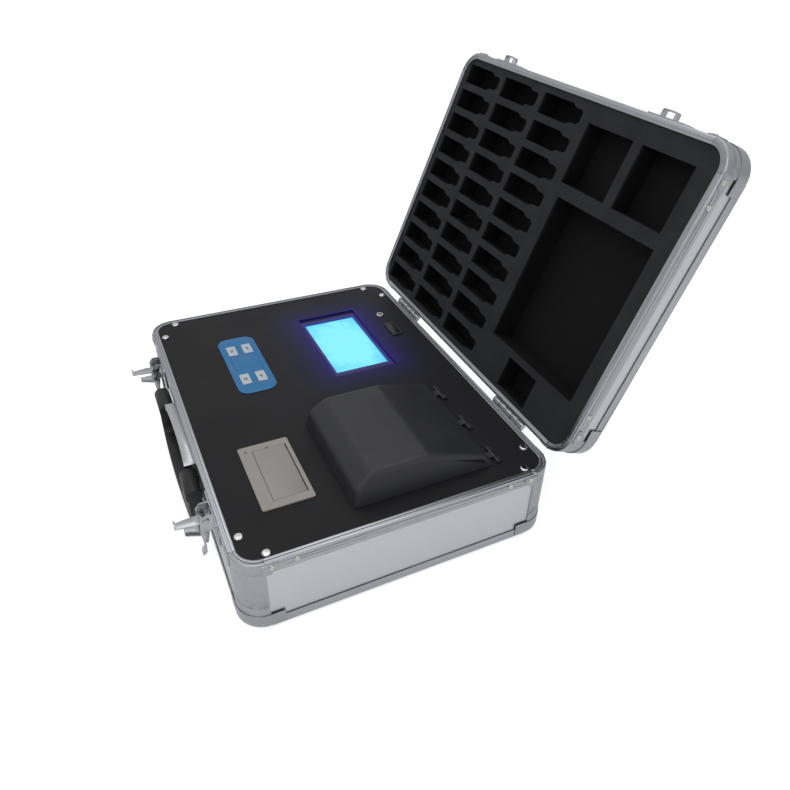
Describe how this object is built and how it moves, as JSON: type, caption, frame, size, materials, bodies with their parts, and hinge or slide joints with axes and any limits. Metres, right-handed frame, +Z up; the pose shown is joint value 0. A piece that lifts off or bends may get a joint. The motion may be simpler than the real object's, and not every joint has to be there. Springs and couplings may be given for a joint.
{
  "type": "water quality tester",
  "caption": "Portable multiparameter water quality tester in an aluminium flight case, with display, keypad, printer, light-tight cell cover and a foam lined lid.",
  "frame": {"origin": "middle of the case's footprint on the surface that it stands on", "axes": "+X to the user's right, +Y to the hinges at the rear, +Z up"},
  "size_m": [0.4302, 0.5008, 0.3879],
  "materials": {
    "satin_aluminium": "satin extruded and stamped aluminium",
    "corner_metal": "smooth satin corner castings",
    "side_sheet": "fine brushed facing on the boards",
    "bright_steel": "nickel plated steel",
    "latch_steel": "zinc plated steel",
    "black_panel": "matt black",
    "black_grip": "moulded black",
    "cover_black": "fine textured black",
    "black_rubber": "matt",
    "screen_glass": "lit cyan",
    "keypad_blue": "printed overlay film",
    "key_white": "pale key tops",
    "printer_grey": "light grey moulding",
    "paper_white": "thermal paper",
    "foam": "closed cell foam",
    "wood": "plywood",
    "circuit_green": "solder resist",
    "battery_wrap": "shrink wrap",
    "lamp_plastic": "small lens"
  },
  "bodies": {
    "base": {"base_rim_rails": "satin_aluminium", "base_rim_corners": "corner_metal", "base_rivets": "bright_steel", "base_edge_rails": "satin_aluminium", "base_side_boards": "side_sheet", "base_floor_board": "wood", "base_ball_corners": "corner_metal", "base_corner_posts": "corner_metal", "base_feet": "black_rubber", "base_hinge_leaves": "latch_steel", "hinge_pins": "bright_steel", "latch_plates": "latch_steel", "latch_studs": "bright_steel", "handle_bracket": "latch_steel", "handle_pins": "bright_steel", "top_panel": "black_panel", "panel_ledges": "wood", "panel_screws": "bright_steel", "display_bezel": "black_panel", "display_glass": "screen_glass", "display_board": "circuit_green", "keypad_overlay": "keypad_blue", "key_board": "circuit_green", "printer_housing": "printer_grey", "print_head": "bright_steel", "printer_lamps": "lamp_plastic", "power_jack": "black_panel", "rocker_frame": "black_panel", "cover_hinge_brackets": "cover_black", "cell_block": "black_panel", "cell_lamps": "lamp_plastic", "cell_detectors": "black_panel", "main_board": "circuit_green", "floor_posts": "bright_steel", "battery_pack": "battery_wrap", "battery_strap": "satin_aluminium"},
    "lid": {"lid_rim_rails": "satin_aluminium", "lid_rim_corners": "corner_metal", "lid_rivets": "bright_steel", "lid_edge_rails": "satin_aluminium", "lid_side_boards": "side_sheet", "lid_top_board": "side_sheet", "lid_ball_corners": "corner_metal", "lid_hinge_leaves": "latch_steel", "lid_keepers": "latch_steel", "lid_foam": "foam"},
    "lever_left": {"latch_lever_left": "latch_steel"},
    "lever_right": {"latch_lever_right": "latch_steel"},
    "tongue_left": {"latch_tongue_left": "latch_steel"},
    "tongue_right": {"latch_tongue_right": "latch_steel"},
    "handle": {"carry_handle": "black_grip"},
    "key_one": {"key_1": "key_white"},
    "key_two": {"key_2": "key_white"},
    "key_three": {"key_3": "key_white"},
    "key_four": {"key_4": "key_white"},
    "rocker": {"rocker": "black_panel"},
    "cover": {"cell_cover": "cover_black"},
    "printer_door": {"printer_door": "printer_grey"},
    "platen": {"platen_roller": "black_rubber"},
    "paper": {"paper_roll": "paper_white"}
  },
  "joints": [
    {"name": "lid_hinge", "type": "hinge", "parent": "base", "child": "lid", "pos_m": [0, 0.1603, 0.0862], "axis": [-1, 0, 0], "range_deg": [-112, 0]},
    {"name": "cover_hinge", "type": "hinge", "parent": "base", "child": "cover", "pos_m": [0.1162, 0.1092, 0.084], "axis": [-1, 0, 0], "range_deg": [0, 95]},
    {"name": "handle_swing", "type": "hinge", "parent": "base", "child": "handle", "pos_m": [0, -0.166, 0.062], "axis": [-1, 0, 0], "range_deg": [0, 90]},
    {"name": "door_hinge", "type": "hinge", "parent": "base", "child": "printer_door", "pos_m": [0.1102, -0.1035, 0.0833], "axis": [1, 0, 0], "range_deg": [0, 75]},
    {"name": "platen_spin", "type": "hinge", "parent": "printer_door", "child": "platen", "pos_m": [0.1102, -0.0794, 0.0781], "axis": [1, 0, 0], "continuous": true},
    {"name": "roll_spin", "type": "hinge", "parent": "base", "child": "paper", "pos_m": [0.1102, -0.0925, 0.056], "axis": [1, 0, 0], "continuous": true},
    {"name": "rocker_tilt", "type": "hinge", "parent": "base", "child": "rocker", "pos_m": [-0.087, 0.1206, 0.0821], "axis": [0, -1, 0], "range_deg": [0, 14]},
    {"name": "lever_left_swing", "type": "hinge", "parent": "base", "child": "lever_left", "pos_m": [-0.129, -0.164, 0.076], "axis": [-1, 0, 0], "range_deg": [-8, 70]},
    {"name": "tongue_left_swing", "type": "hinge", "parent": "lever_left", "child": "tongue_left", "pos_m": [-0.129, -0.16694, 0.07086], "axis": [1, 0, 0], "range_deg": [-98, 0]},
    {"name": "lever_right_swing", "type": "hinge", "parent": "base", "child": "lever_right", "pos_m": [0.129, -0.164, 0.076], "axis": [-1, 0, 0], "range_deg": [-8, 70]},
    {"name": "tongue_right_swing", "type": "hinge", "parent": "lever_right", "child": "tongue_right", "pos_m": [0.129, -0.16694, 0.07086], "axis": [1, 0, 0], "range_deg": [-98, 0]},
    {"name": "key_one_press", "type": "slide", "parent": "base", "child": "key_one", "axis": [0, 0, -1], "range_m": [0, 0.0004], "stiffness_N_per_m": 500, "springref_m": -0.0004},
    {"name": "key_two_press", "type": "slide", "parent": "base", "child": "key_two", "axis": [0, 0, -1], "range_m": [0, 0.0004], "stiffness_N_per_m": 500, "springref_m": -0.0004},
    {"name": "key_three_press", "type": "slide", "parent": "base", "child": "key_three", "axis": [0, 0, -1], "range_m": [0, 0.0004], "stiffness_N_per_m": 500, "springref_m": -0.0004},
    {"name": "key_four_press", "type": "slide", "parent": "base", "child": "key_four", "axis": [0, 0, -1], "range_m": [0, 0.0004], "stiffness_N_per_m": 500, "springref_m": -0.0004}
  ],
  "couplings": [
    {"joint": "roll_spin", "follows": "platen_spin", "ratio": 0.3077}
  ]
}
